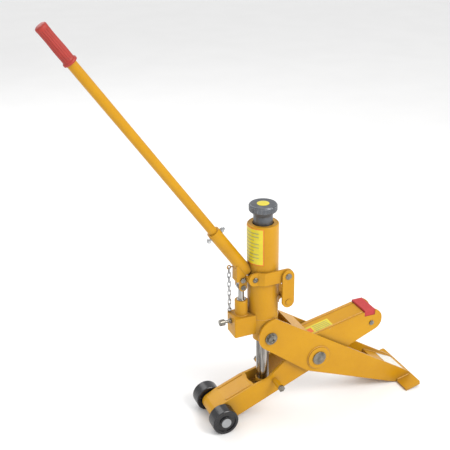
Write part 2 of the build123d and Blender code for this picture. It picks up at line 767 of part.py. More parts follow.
def fulcrum_pin():
    """Headed pin through the lever bar and the swing link, held by a clip outside."""
    shank = bar(FULCRUM, FULCRUM_R, -LINK_OUTER - 3.0, -FOOT_INNER + 4.0)
    inner_head = bar(FULCRUM, 9.0, -FOOT_INNER, -FOOT_INNER + 4.0)
    clip = bar(FULCRUM, 8.5, -LINK_OUTER - 2.0, -LINK_OUTER - 0.4)
    return shank + inner_head + clip


def handle_tube():
    outer = handle_rod(HANDLE_R, 26, HANDLE_LENGTH - 2)
    inner = handle_rod(HANDLE_R - 2.6, 25, HANDLE_LENGTH)
    return outer - inner - bolt_hole()


def handle_grip():
    sleeve = handle_rod(GRIP_R, HANDLE_LENGTH - GRIP_LENGTH, HANDLE_LENGTH + 2)
    sleeve = fillet(sleeve.edges().filter_by(GeomType.CIRCLE), 2.5)
    sleeve += handle_rod(GRIP_R + 3.0, HANDLE_LENGTH - GRIP_LENGTH, HANDLE_LENGTH - GRIP_LENGTH + 6)
    return sleeve - handle_rod(HANDLE_R, HANDLE_LENGTH - GRIP_LENGTH - 1, HANDLE_LENGTH - 2)


def handle_bolt():
    """Bolt across the socket and the handle tube, with its nut on the upper side."""
    plane = handle_plane(SOCKET_FOOT)
    across = plane.location * Pos(0, 0, BOLT_AT) * Rot(90, 0, 90)
    shank = across * Cylinder(4.0, 59.0)
    head = across * Pos(0, 0, -27.0) * extrude(RegularPolygon(6.5, 6, major_radius=False), amount=5.5)
    nut = across * Pos(0, 0, SOCKET_R + 0.1) * extrude(RegularPolygon(6.5, 6, major_radius=False), amount=6.5)
    nut -= shank
    return Compound(children=[*(shank + head).solids(), *nut.solids()])


# --- swing links ----------------------------------------------------------------------
LINK_WIDE = 35.0


def swing_link():
    link = slab(strap(LUG_PIN, FULCRUM, LINK_WIDE), -LINK_OUTER, -LINK_INNER)
    link -= bar(FULCRUM, FULCRUM_R + RUN, -60, -40)
    return link - bar(LUG_PIN, LUG_PIN_R + RUN, -60, -40)


def link_pin():
    """Pin through both links and the lug's clearance hole, riveted over at its ends."""
    pin = bar(LUG_PIN, LUG_PIN_R, -LINK_OUTER - 1.0, LINK_OUTER + 1.0)
    return pin + both(bar(LUG_PIN, 8.0, -LINK_OUTER - 2.5, -LINK_OUTER - 0.2))


# --- release valve and top knob -------------------------------------------------------
def valve_knob():
    along_x = Rot(0, -90, 0)
    place = Pos(VALVE_X, 0, VALVE_Z) * along_x
    stem = place * Pos(0, 0, 4.0) * Cylinder(4.0, 40.0)
    collar = place * Pos(0, 0, 3.0) * Cylinder(7.0, 5.4)
    grip = place * Pos(0, 0, 27.0) * Cylinder(9.0, 15.0)
    grip = fillet(grip.edges().filter_by(GeomType.CIRCLE), 1.5)
    return stem + collar + grip


def top_knob():
    base = CYLINDER_TOP - 9.0
    section = make_face(Polyline(
        (0, base + 0.3),
        (KNOB_STEM_R, base + 0.3),
        (KNOB_STEM_R, CYLINDER_TOP + 22),
        (30, CYLINDER_TOP + 32),
        (36, CYLINDER_TOP + 34),
        (38, CYLINDER_TOP + 37),
        (38, CYLINDER_TOP + 50),
        (35, KNOB_TOP),
        (0, KNOB_TOP),
        close=True,
    ))
    knob = revolve(Plane.XZ * section, Axis.Z)
    knob += rod(0, 0, 8.0, CYLINDER_TOP - 19, base + 0.3)
    for step in range(24):
        flute = rod(39.1, 0, 1.8, CYLINDER_TOP + 10, KNOB_TOP + 5)
        knob -= Rot(0, 0, 15 * step) * flute
    return Pos(RAM_AXIS_X, 0, 0) * knob


# --- write every node -----------------------------------------------------------------
def save_foot_arm():
    save_pair(foot_arm_plate(), "foot_arm_plate")
    save(foot_arm_bridge(), "foot_arm_bridge")
    save(toe_deck(), "toe_deck")
    save(foot_plate(), "foot_plate")
    save(both(pivot_boss()), "pivot_bosses")
    save(pivot_pin(), "pivot_pin")
    save(pivot_nut(), "pivot_nut")
    save(both(pivot_washer()), "pivot_washers")


def save_lift_arm():
    save_pair(lift_arm_plate(), "lift_arm_plate")
    save(rear_deck(), "lift_arm_rear_deck")
    save(front_deck(), "lift_arm_front_deck")
    save(pivot_sleeve(), "pivot_sleeve")
    save(axle_sleeve(), "axle_sleeve")
    save(axle(), "axle")
    save(both(axle_washer()), "axle_washers")
    save(both(axle_end_cap()), "axle_end_caps")
    save(ram_cradle(), "ram_cradle")
    save(both(stop_peg()), "stop_pegs")
    save(both(stop_peg_bolt()), "stop_peg_bolts")
    save(saddle_block(), "saddle_block")
    save(saddle_pad(), "saddle_pad")
    save(saddle_pin(), "saddle_pin")
    save_pair(wheel(), "wheel")
    save_pair(wheel_bush(), "wheel_bush")


def save_hydraulic_unit():
    save(lean(pump_block()), "pump_block")
    save(both(trunnion_bolt()), "trunnion_bolts")
    save(lean(cylinder_tube()), "cylinder_tube")
    save(lean(pressure_tube()), "pressure_tube")
    save(lean(top_cap()), "top_cap")
    save(lean(filler_plug()), "filler_plug")
    save(lean(link_lug()), "link_lug")
    save(lean(pump_barrel()), "pump_barrel")
    save(lean(pump_gland()), "pump_gland")
    save(lean(chain_eye()), "chain_eye")
    save(chain(), "chain")
    save(lean(ram_rod()), "ram_rod")
    save(lean(piston()), "piston")
    save(lean(piston_seal()), "piston_seal")
    save(lean(ram_foot()), "ram_foot")
    save(lean(pump_plunger()), "pump_plunger")
    save(lean(valve_knob()), "valve_knob")
    save(lean(top_knob()), "top_knob")


def save_lever():
    save_pair(lever_bar(), "lever_bar")
    save(handle_socket(), "handle_socket")
    save(lever_yoke(), "lever_yoke")
    save(plunger_pin(), "plunger_pin")
    save(both(lever_bolt()), "lever_bolts")
    save(yoke_bolt(), "yoke_bolt")
    save(both(fulcrum_pin()), "fulcrum_pins")
    save(handle_tube(), "handle_tube")
    save(handle_grip(), "handle_grip")
    save(handle_bolt(), "handle_bolt")
    save_pair(swing_link(), "swing_link")
    save(link_pin(), "link_pin")


save_foot_arm()
save_lift_arm()
save_hydraulic_unit()
save_lever()
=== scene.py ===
import json
import math
import random

import bpy
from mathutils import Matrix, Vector

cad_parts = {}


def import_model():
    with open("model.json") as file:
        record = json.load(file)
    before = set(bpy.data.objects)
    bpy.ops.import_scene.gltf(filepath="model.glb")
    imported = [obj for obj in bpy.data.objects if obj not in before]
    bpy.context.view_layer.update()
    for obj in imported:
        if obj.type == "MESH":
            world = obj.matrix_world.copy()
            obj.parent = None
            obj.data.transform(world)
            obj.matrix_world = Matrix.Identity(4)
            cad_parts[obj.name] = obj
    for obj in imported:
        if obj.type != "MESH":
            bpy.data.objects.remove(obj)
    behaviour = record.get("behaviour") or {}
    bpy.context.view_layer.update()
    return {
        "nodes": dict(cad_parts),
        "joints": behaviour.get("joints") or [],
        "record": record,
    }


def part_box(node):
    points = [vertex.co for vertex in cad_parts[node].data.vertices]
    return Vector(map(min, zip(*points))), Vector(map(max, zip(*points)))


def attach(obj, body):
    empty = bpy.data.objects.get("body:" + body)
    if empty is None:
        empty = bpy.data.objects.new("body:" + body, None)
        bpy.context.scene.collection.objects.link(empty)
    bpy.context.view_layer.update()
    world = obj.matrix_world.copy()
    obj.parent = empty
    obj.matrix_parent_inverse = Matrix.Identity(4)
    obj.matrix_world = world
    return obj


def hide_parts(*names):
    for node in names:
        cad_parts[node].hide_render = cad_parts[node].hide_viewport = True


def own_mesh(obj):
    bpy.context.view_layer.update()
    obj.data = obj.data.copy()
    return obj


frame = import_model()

DICE = random.Random(7)
FORWARD = Vector((1, 0, 0))
FAR = Vector((0, 1, 0))
UP = Vector((0, 0, 1))


# --- places, worked out from the frame ------------------------------------------------
def middle(node):
    """The middle of a CAD node's box at rest."""
    low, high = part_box(node)
    return (Vector(low) + Vector(high)) / 2


def joint(name):
    """A joint of the frame, by its name."""
    return next(one for one in frame["joints"] if one["name"] == name)


AXLE = middle("axle")
UNIT_UP = -Vector(joint("ram_slide")["axis"]).normalized()
UNIT_RIGHT = FAR.cross(UNIT_UP)
CYLINDER = middle("cylinder_tube")
CYLINDER_HALF = 0.1375
CYLINDER_R = 0.0425
KNOB_HEIGHT = 0.0535
STICKER_GAP = 0.0001
KNOB_FACE = CYLINDER_HALF + KNOB_HEIGHT + STICKER_GAP
HANDLE_ANGLE = math.radians(54.35)
HANDLE_UP = Vector((-math.cos(HANDLE_ANGLE), 0, math.sin(HANDLE_ANGLE)))
HANDLE_OUT = FAR.cross(HANDLE_UP)


def at(x, y, z):
    """A point in the row frame from millimetres measured from the wheel axle and the floor."""
    return Vector((AXLE.x + x / 1000, y / 1000, z / 1000))


def on_unit(radius, angle, height):
    """A point round the cylinder's axis; angle 0 faces the toe and 90 the far side."""
    turn = math.radians(angle)
    out = UNIT_RIGHT * math.cos(turn) + FAR * math.sin(turn)
    return CYLINDER + UNIT_UP * height + out * radius


# --- material graph helper ------------------------------------------------------------
class Graph:
    """Builds one material's nodes; the methods that make a value return its socket."""

    RAYS = 6

    def __init__(self, name):
        self.mat = bpy.data.materials.new(name)
        self.mat.use_nodes = True
        self.tree = self.mat.node_tree
        self.tree.nodes.clear()
        self.out = self.tree.nodes.new("ShaderNodeOutputMaterial")
        self.shader = self.tree.nodes.new("ShaderNodeBsdfPrincipled")
        self.tree.links.new(self.shader.outputs[0], self.out.inputs[0])
        self.place = self.tree.nodes.new("ShaderNodeTexCoord").outputs["Object"]

    def link(self, source, target):
        """Joins a socket to an input."""
        self.tree.links.new(source, target)

    def feed(self, value, target):
        """Gives an input a number, a colour or another node's socket."""
        if isinstance(value, (int, float)):
            target.default_value = value
        elif isinstance(value, (tuple, list)):
            target.default_value = (*value[:3], 1.0) if len(target.default_value) == 4 else value[:3]
        else:
            self.link(value, target)

    def stretch(self, scale):
        """Object coordinates scaled by axis, for a grain or streaks."""
        node = self.tree.nodes.new("ShaderNodeMapping")
        self.link(self.place, node.inputs["Vector"])
        node.inputs["Scale"].default_value = scale
        return node.outputs[0]

    def noise(self, scale, detail=3.0, rough=0.5, place=None):
        """Noise from 0 to 1; scale is in repeats a metre."""
        node = self.tree.nodes.new("ShaderNodeTexNoise")
        self.link(place or self.place, node.inputs["Vector"])
        node.inputs["Scale"].default_value = scale
        node.inputs["Detail"].default_value = detail
        node.inputs["Roughness"].default_value = rough
        return node.outputs["Fac"]

    def ramp(self, value, low, high):
        """Value stretched so that low gives 0 and high gives 1."""
        node = self.tree.nodes.new("ShaderNodeMapRange")
        self.feed(value, node.inputs["Value"])
        node.inputs["From Min"].default_value = low
        node.inputs["From Max"].default_value = high
        return node.outputs[0]

    def scale(self, value, low, high):
        """Value from 0 to 1 spread from low to high."""
        node = self.tree.nodes.new("ShaderNodeMapRange")
        self.feed(value, node.inputs["Value"])
        node.inputs["To Min"].default_value = low
        node.inputs["To Max"].default_value = high
        return node.outputs[0]

    def combine(self, kind, first, second):
        """One step of arithmetic on two values; kind is Blender's name for it."""
        node = self.tree.nodes.new("ShaderNodeMath")
        node.operation = kind
        self.feed(first, node.inputs[0])
        self.feed(second, node.inputs[1])
        return node.outputs[0]

    def mix(self, share, first, second):
        """A colour that goes from first to second as share goes from 0 to 1."""
        node = self.tree.nodes.new("ShaderNodeMix")
        node.data_type = "RGBA"
        self.feed(share, node.inputs[0])
        self.feed(first, node.inputs[6])
        self.feed(second, node.inputs[7])
        return node.outputs[2]

    def rounded(self, radius):
        """Normal of the surface with its sharp edges rounded."""
        node = self.tree.nodes.new("ShaderNodeBevel")
        node.samples = self.RAYS
        node.inputs["Radius"].default_value = radius
        return node.outputs[0]

    def edges(self, radius):
        """1 along sharp edges and 0 on open faces."""
        geometry = self.tree.nodes.new("ShaderNodeNewGeometry")
        dot = self.tree.nodes.new("ShaderNodeVectorMath")
        dot.operation = "DOT_PRODUCT"
        self.link(self.rounded(radius), dot.inputs[0])
        self.link(geometry.outputs["Normal"], dot.inputs[1])
        open_face, sharp_edge = 0.985, 0.80
        return self.ramp(dot.outputs["Value"], open_face, sharp_edge)

    def corners(self, distance):
        """1 in open places and less in corners and gaps."""
        node = self.tree.nodes.new("ShaderNodeAmbientOcclusion")
        node.samples = self.RAYS
        node.inputs["Distance"].default_value = distance
        return node.outputs["AO"]

    def bump(self, height, strength, distance, radius=None):
        """Surface relief from height, on edges rounded by radius where one is given."""
        node = self.tree.nodes.new("ShaderNodeBump")
        node.inputs["Strength"].default_value = strength
        node.inputs["Distance"].default_value = distance
        self.link(height, node.inputs["Height"])
        if radius:
            self.link(self.rounded(radius), node.inputs["Normal"])
        self.link(node.outputs[0], self.shader.inputs["Normal"])

    def colour(self, value):
        """Sets the base colour."""
        self.feed(value, self.shader.inputs["Base Color"])

    def set(self, **values):
        """Sets other inputs of the shader, named with _ for each space."""
        for name, value in values.items():
            self.feed(value, self.shader.inputs[name.replace("_", " ")])


# --- materials ------------------------------------------------------------------------
YELLOW = (0.53, 0.262, 0.0020)
YELLOW_DEEP = (0.46, 0.214, 0.0018)
STEEL_BARE = (0.30, 0.28, 0.26)
# Brown of the painted shade in the corners of the enamel and the welds.
SHADE_BROWN = (0.20, 0.12, 0.045)
RUST = (0.16, 0.055, 0.02)
# Dark and light of the painted reflections streaked along the ram.
CHROME_REFLECTION_DARK = (0.055, 0.05, 0.047)
CHROME_REFLECTION_LIGHT = (0.55, 0.53, 0.50)
OIL_FILM = (0.12, 0.08, 0.04)
NYLON = (0.006, 0.006, 0.008)
NYLON_SCUFFED = (0.018, 0.018, 0.020)


def enamel(name, base, deep, chip=0.55, shade_strength=0.8):
    """Sprayed enamel: uneven film, orange peel, painted shade in the corners, chips on the edges."""
    g = Graph(name)
    cloud = g.noise(7.0, 4.0, 0.6)
    speckle = g.noise(160.0, 2.0, 0.7)
    film = g.mix(g.ramp(cloud, 0.35, 0.68), base, deep)
    freckles = g.combine("MULTIPLY", g.ramp(speckle, 0.55, 0.8), 0.18)
    film = g.mix(freckles, film, [c * 0.72 for c in deep])
    # Painted shade: the paint darkens towards brown in corners and gaps, where shade falls.
    corner_shade = g.combine("MULTIPLY", g.ramp(g.corners(0.035), 0.92, 0.30), shade_strength)
    patchy_shade = g.combine("MULTIPLY", corner_shade, g.scale(g.noise(38.0, 4.0, 0.65), 0.55, 1.0))
    film = g.mix(patchy_shade, film, SHADE_BROWN)
    chips = g.ramp(g.noise(90.0, 5.0, 0.75), chip, chip + 0.12)
    rub = g.combine("MULTIPLY", g.edges(0.0016), chips)
    g.colour(g.mix(rub, film, STEEL_BARE))
    g.set(Metallic=g.combine("MULTIPLY", rub, 0.8), Specular_IOR_Level=0.25)
    g.set(Coat_Weight=0.07, Coat_Roughness=0.12)
    smear = g.scale(g.noise(22.0, 5.0, 0.7), 0.26, 0.46)
    g.set(Roughness=g.combine("ADD", smear, g.combine("MULTIPLY", patchy_shade, 0.3)))
    peel = g.combine("ADD", g.noise(420.0, 2.0, 0.4), g.combine("MULTIPLY", g.noise(60.0, 2.0), 0.7))
    g.bump(g.combine("SUBTRACT", peel, rub), 0.16, 0.0006, 0.0012)
    return g.mat


def steel(name, dark, light, rough, grain=(1, 1, 1), radius=0.0006, rust=0.0):
    """Bare or oiled steel with a grain, smears, a little rust and painted highlights on the edges."""
    g = Graph(name)
    lines = g.noise(420.0, 4.0, 0.7, g.stretch(grain))
    patch = g.noise(55.0, 4.0, 0.6)
    tone = g.mix(g.ramp(patch, 0.3, 0.75), dark, light)
    # Painted highlight: sharp edges lightened, more where the grain runs bright.
    edge_highlight = g.combine("MULTIPLY", g.edges(0.0008), g.scale(lines, 0.3, 0.9))
    tone = g.mix(edge_highlight, tone, [min(1.0, c * 1.8 + 0.05) for c in light])
    spots = g.combine("MULTIPLY", g.ramp(g.noise(240.0, 5.0, 0.8), 0.62, 0.75), rust)
    g.colour(g.mix(spots, tone, RUST))
    polish = g.scale(lines, rough - 0.08, rough + 0.10)
    g.set(Metallic=1.0, Roughness=g.combine("ADD", polish, g.combine("MULTIPLY", spots, 0.3)))
    g.bump(lines, 0.10, 0.0003, radius)
    return g.mat


def ram_chrome():
    """Hard chrome with painted reflections in lengthwise dark and light streaks, and patches of oil
    film.
    """
    g = Graph("ram_chrome")
    streak = g.noise(60.0, 4.0, 0.6, g.stretch((2.4, 2.4, 0.10)))
    # Painted reflection: dark and light streaks along the ram.
    tone = g.mix(g.ramp(streak, 0.38, 0.66), CHROME_REFLECTION_DARK, CHROME_REFLECTION_LIGHT)
    film = g.ramp(g.noise(26.0, 5.0, 0.7), 0.5, 0.8)
    g.colour(g.mix(g.combine("MULTIPLY", film, 0.35), tone, OIL_FILM))
    g.set(Metallic=1.0, Roughness=g.scale(g.noise(90.0, 4.0), 0.10, 0.26))
    g.bump(g.noise(700.0, 2.0, 0.5, g.stretch((1, 1, 6))), 0.05, 0.0002, 0.0008)
    return g.mat


def turned_steel():
    """Dark turned steel of the top screw, with fine tool rings round the cylinder's axis and painted
    highlights on its edges.
    """
    g = Graph("turned_steel")
    rings = g.noise(500.0, 2.0, 0.5, g.stretch((0.15, 0.15, 3.0)))
    patch = g.noise(40.0, 4.0, 0.6)
    tone = g.mix(g.ramp(patch, 0.3, 0.75), (0.085, 0.092, 0.102), (0.15, 0.158, 0.172))
    # Painted highlight: the sharp edges lightened to pale grey.
    tone = g.mix(g.edges(0.0012), tone, (0.55, 0.56, 0.58))
    g.colour(tone)
    g.set(Metallic=0.75, Roughness=g.scale(rings, 0.30, 0.48))
    g.bump(rings, 0.12, 0.0003, 0.0008)
    return g.mat


def moulded(name, base, dark, rough, peel=900.0, depth=0.0004):
    """Rubber or plastic with mould grain, scuffs, painted shade in the corners and painted highlights
    on the edges.
    """
    g = Graph(name)
    scuff = g.ramp(g.noise(70.0, 5.0, 0.75), 0.48, 0.72)
    tone = g.mix(g.combine("MULTIPLY", scuff, 0.55), base, dark)
    # Painted shade: corners and gaps darkened, where shade falls.
    corner_shade = g.combine("MULTIPLY", g.ramp(g.corners(0.01), 0.95, 0.35), 0.6)
    tone = g.mix(corner_shade, tone, [c * 0.35 for c in dark])
    # Painted highlight: the sharp edges lightened.
    pale = [min(1, c * 1.35 + 0.03) for c in base]
    tone = g.mix(g.combine("MULTIPLY", g.edges(0.001), 0.35), tone, pale)
    g.colour(tone)
    g.set(Roughness=g.scale(g.noise(45.0, 4.0), rough - 0.08, rough + 0.12))
    g.bump(g.noise(peel, 3.0, 0.6), 0.25, depth, 0.0008)
    return g.mat


def printed(name, base, fade, gloss=0.32):
    """Printed vinyl: a slightly uneven ink, a soft sheen and fine wrinkles."""
    g = Graph(name)
    worn = g.noise(48.0, 5.0, 0.7)
    tone = g.mix(g.ramp(worn, 0.35, 0.75), base, fade)
    scratch = g.ramp(g.noise(300.0, 3.0, 0.8, g.stretch((0.2, 1.0, 2.0))), 0.66, 0.75)
    g.colour(g.mix(g.combine("MULTIPLY", scratch, 0.35), tone, [c * 0.6 + 0.2 for c in fade]))
    g.set(Roughness=g.scale(worn, gloss - 0.08, gloss + 0.14))
    g.bump(g.noise(120.0, 3.0, 0.5), 0.12, 0.0004)
    return g.mat


def weld_metal():
    """Painted weld bead: the enamel thinner and darker on the ripples, with painted shade in the
    corners.
    """
    g = Graph("weld_paint")
    patch = g.noise(220.0, 4.0, 0.7)
    tone = g.mix(g.ramp(patch, 0.35, 0.7), (0.58, 0.28, 0.008), (0.40, 0.18, 0.006))
    # Painted shade: the bead darkens towards brown in corners, where shade falls.
    g.colour(g.mix(g.combine("MULTIPLY", g.ramp(g.corners(0.012), 0.9, 0.3), 0.7), tone, SHADE_BROWN))
    g.set(Roughness=g.scale(patch, 0.30, 0.5), Coat_Weight=0.2, Coat_Roughness=0.25)
    g.bump(patch, 0.3, 0.0006)
    return g.mat


MATERIALS = {
    "jack_paint": enamel("enamel_frame", YELLOW, YELLOW_DEEP),
    "cylinder_paint": enamel("enamel_cylinder", YELLOW, YELLOW_DEEP, 0.60, 0.7),
    "wheel_black": moulded("nylon_wheel", NYLON, NYLON_SCUFFED, 0.26, 300.0, 0.0003),
    "handle_paint": enamel("enamel_handle", YELLOW, YELLOW_DEEP, 0.58, 0.6),
    "dark_steel": steel("steel_black", (0.10, 0.095, 0.080), (0.34, 0.32, 0.28), 0.30, rust=0.5),
    "bright_steel": steel("steel_machined", (0.34, 0.34, 0.34), (0.56, 0.56, 0.55), 0.28, (1, 6, 1)),
    "knob_steel": turned_steel(),
    "ram_chrome": ram_chrome(),
    "zinc": steel("steel_zinc", (0.30, 0.31, 0.32), (0.60, 0.61, 0.62), 0.30, rust=0.15),
    "cap_grey": moulded("plastic_cap", (0.28, 0.29, 0.30), (0.18, 0.18, 0.19), 0.42),
    "bush_bronze": steel("bronze_bush", (0.30, 0.17, 0.06), (0.50, 0.32, 0.12), 0.36, rust=0.2),
    "pad_red": moulded("rubber_pad", (0.43, 0.026, 0.028), (0.28, 0.018, 0.02), 0.52, 500.0, 0.0006),
    "grip_red": moulded("rubber_grip", (0.36, 0.024, 0.014), (0.20, 0.016, 0.010), 0.48, 700.0, 0.0006),
    "seal_black": moulded("rubber_seal", (0.03, 0.03, 0.03), (0.015, 0.015, 0.015), 0.5),
}

for entry in frame["record"]["subparts"]:
    target = frame["nodes"][entry["node"]]
    target.data.materials.clear()
    target.data.materials.append(MATERIALS[entry["material_slot"]])


# --- mesh helpers ---------------------------------------------------------------------
def piece(name, verts, faces, material, body, slot=None, smooth=True):
    """A new mesh object that rides on a body; slot is not used."""
    mesh = bpy.data.meshes.new(name)
    mesh.from_pydata([tuple(v) for v in verts], [], faces)
    mesh.validate()
    mesh.update()
    for face in mesh.polygons:
        face.use_smooth = smooth
    mesh.materials.append(material)
    made = bpy.data.objects.new(name, mesh)
    bpy.context.scene.collection.objects.link(made)
    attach(made, body)
    return made


def skin(rings, sides, closed=False):
    """Faces over rings of equal points: bands between neighbours, and end caps unless closed."""
    faces = []
    for ring in range(rings if closed else rings - 1):
        here = ring * sides
        there = ((ring + 1) % rings) * sides
        for step in range(sides):
            after = (step + 1) % sides
            faces.append((here + step, here + after, there + after, there + step))
    if not closed:
        faces.append(tuple(reversed(range(sides))))
        faces.append(tuple(range((rings - 1) * sides, rings * sides)))
    return faces


def tube(points, radius, sides=8, closed=False, wobble=None):
    """Vertices and faces of a round tube along points; wobble(i) scales each ring."""
    verts = []
    count = len(points)
    side = None
    for index, point in enumerate(points):
        ahead = points[(index + 1) % count] if closed or index < count - 1 else point
        behind = points[index - 1] if closed or index > 0 else point
        along = (ahead - behind).normalized()
        if side is None:
            guess = UP if abs(along.z) < 0.9 else FORWARD
            side = along.cross(guess).normalized()
        side = (side - along * side.dot(along)).normalized()
        up = along.cross(side)
        size = radius * (wobble(index) if wobble else 1.0)
        for step in range(sides):
            turn = math.tau * step / sides
            verts.append(point + (side * math.cos(turn) + up * math.sin(turn)) * size)
    return verts, skin(count, sides, closed)


def join(parts):
    """Several (verts, faces) as one."""
    verts = []
    faces = []
    for some_verts, some_faces in parts:
        shift = len(verts)
        verts.extend(some_verts)
        faces.extend(tuple(index + shift for index in face) for face in some_faces)
    return verts, faces


def straight(start, end, step):
    """Points from start to end, about a step apart."""
    count = max(2, int((end - start).length / step))
    return [start.lerp(end, index / count) for index in range(count + 1)]


def arc(centre, first, second, radius, count, stop):
    """Points of an arc from first towards second, stop degrees long; a whole turn has no repeat."""
    whole = stop == 360
    points = []
    for index in range(count if whole else count + 1):
        turn = math.radians(stop * index / count)
        points.append(centre + (first * math.cos(turn) + second * math.sin(turn)) * radius)
    return points


# --- weld beads -----------------------------------------------------------------------
WELD = weld_metal()
BEAD_R = 0.0026
HEAVY_BEAD_R = 0.0030
RING_BEAD_R = 0.0024
CYLINDER_BEAD_R = 0.0017
BARREL_BEAD_R = 0.0020
LUG_BEAD_R = 0.0022
CROSS_BEAD_R = 0.0020
BEAD_SIDES = 8
BEAD_STEP = 0.0012
RING_STEP = 0.0013
RIPPLE_DEPTH = 0.10
RIPPLE_PACE = 1.9
RIPPLE_SCATTER = 0.05
BOSS_FACE = 0.0503
BOSS_SEAM_R = 0.0341
SLEEVE_END = 0.0292
SLEEVE_SEAM_R = 0.0207
BARREL_FOOT = 0.0216
BARREL_SEAM_R = 0.0184
LUG_FACE = 0.0090
LUG_SEAM = (-0.108, -0.040)
# These four are in millimetres, for at().
FOOT_PLATE_FACE = 43.2
ARM_PLATE_FACE = 29.2
TOE_EDGE = 51.0
TOE_HALF = 49


def ripple():
    """Ring sizes of a weld bead: even ripples with a little unevenness."""
    phase = DICE.random() * 6

    def size(index):
        wave = RIPPLE_DEPTH * math.sin(index * RIPPLE_PACE + phase)
        return 1.0 + wave + DICE.uniform(-RIPPLE_SCATTER, RIPPLE_SCATTER)
    return size


def mirrored(start, end):
    """A run in millimetres, given for the far side, on the near side and then on the far side."""
    return [[at(x, y * side, z) for x, y, z in (start, end)] for side in (-1, 1)]


def bead(name, body, runs, radius=BEAD_R):
    """Weld beads along straight runs, each from one point to another."""
    parts = []
    for start, end in runs:
        path = straight(start, end, BEAD_STEP)
        parts.append(tube(path, radius, BEAD_SIDES, False, ripple()))
    piece(name, *join(parts), WELD, body, "jack_paint")


def ring_bead(name, body, centres, first, second, ring, radius=RING_BEAD_R):
    """Weld beads round one or more circles of the same size, in the plane of first and second."""
    parts = []
    for centre in centres:
        path = arc(centre, first, second, ring, int(math.tau * ring / RING_STEP), 360)
        parts.append(tube(path, radius, BEAD_SIDES, True, ripple()))
    piece(name, *join(parts), WELD, body, "jack_paint")


def foot_arm_welds():
    face = FOOT_PLATE_FACE
    bead("weld_bridge", "foot_arm", mirrored((213, face, 273.6), (261, face, 243.4)))
    proud = face + 0.2
    bead("weld_toe_deck", "foot_arm", mirrored((509, proud, 79.6), (617, proud, 25.0)))
    toe = mirrored((578, TOE_EDGE, 9.3), (617.5, TOE_EDGE, 19.3))
    bead("weld_toe_plate", "foot_arm", toe, HEAVY_BEAD_R)
    front = [(at(619.2, -TOE_HALF, 20.6), at(619.2, TOE_HALF, 20.6))]
    bead("weld_toe_front", "foot_arm", front, HEAVY_BEAD_R)


def lift_arm_welds():
    face = ARM_PLATE_FACE
    bead("weld_rear_deck", "lift_arm", mirrored((95, face, 105.0), (20, face, 75.6)))
    bead("weld_front_deck", "lift_arm", mirrored((266, face, 219.9), (450, face, 261.1)))
    proud = face + 0.2
    bead("weld_cradle", "lift_arm", mirrored((118, proud, 78.4), (174, proud, 78.4)))


def pivot_welds():
    pivot = Vector(joint("scissor_lift")["pos_m"])
    bosses = [pivot - FAR * BOSS_FACE, pivot + FAR * BOSS_FACE]
    ring_bead("weld_boss", "foot_arm", bosses, FORWARD, UP, BOSS_SEAM_R)
    sleeve = [pivot - FAR * SLEEVE_END, pivot + FAR * SLEEVE_END]
    ring_bead("weld_sleeve", "lift_arm", sleeve, FORWARD, UP, SLEEVE_SEAM_R)


def unit_welds():
    foot = CYLINDER - UNIT_UP * CYLINDER_HALF
    seam = CYLINDER_R - 0.0008
    ring_bead("weld_cylinder", "jack_unit", [foot], UNIT_RIGHT, FAR, seam, CYLINDER_BEAD_R)
    barrel = middle("pump_barrel") - UNIT_UP * BARREL_FOOT
    ring_bead("weld_barrel", "jack_unit", [barrel], UNIT_RIGHT, FAR, BARREL_SEAM_R, BARREL_BEAD_R)
    seam = CYLINDER_R + 0.001
    lug = [[on_unit(seam, 0, h) + FAR * out for h in LUG_SEAM] for out in (-LUG_FACE, LUG_FACE)]
    bead("weld_lug", "jack_unit", lug, LUG_BEAD_R)
    bead("weld_cross", "lever", mirrored((84.5, 9.6, 446.3), (84.5, 26.2, 446.3)), CROSS_BEAD_R)


# --- safety chain ---------------------------------------------------------------------
# At full pump stroke the chain's upper eye comes about 11 mm toward the handle and 32 mm down.
CHAIN_FOOT = at(52.8, 22.0, 331.0)
CHAIN_TOP = at(46.5, 12.5, 466.0)
CHAIN_LINKS = 9
EYE_INSET = 0.0032
LINK_WIRE = 0.0015
LINK_SIDES = 10
LINK_HALF_WIDTH = 0.004
LINK_PLAY = 0.0003
LINK_END_STEPS = 12


def link_path(centre, along, across, inside):
    """Centre line of one link: two straight sides and two half-round ends."""
    half = inside / 2 + LINK_WIRE - LINK_HALF_WIDTH
    points = []
    for sign in (1, -1):
        end = centre + along * half * sign
        points += arc(end, across * sign, along * sign, LINK_HALF_WIDTH, LINK_END_STEPS, 180)
    return points


def chain():
    """Nine links between the two eyes, each a quarter turn from the one before."""
    run = CHAIN_TOP - CHAIN_FOOT
    along = run.normalized()
    pitch = (run.length - 2 * EYE_INSET) / CHAIN_LINKS
    first = (FAR - along * FAR.dot(along)).normalized()
    second = along.cross(first)
    parts = []
    for index in range(CHAIN_LINKS):
        centre = CHAIN_FOOT + along * (EYE_INSET + pitch * (index + 0.5))
        across = second if index % 2 else first
        path = link_path(centre, along, across, pitch + LINK_PLAY)
        parts.append(tube(path, LINK_WIRE, LINK_SIDES, True))
    made = piece("chain_links", *join(parts), MATERIALS["zinc"], "jack_unit", "zinc")
    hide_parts("chain")
    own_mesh(made)


# --- handle grip ----------------------------------------------------------------------
GRIP_LENGTH = 0.106
GRIP_RIBS = 16
STEPS_PER_RIB = 8
RIB_DEPTH = 0.0010
RIB_ROUNDNESS = 0.7
RIBS_START = 0.0120
RIBS_RUN = 0.082
RIBS_R = 0.0145
RIBS_RINGS = 20
RIBS_SWELL = 0.0004


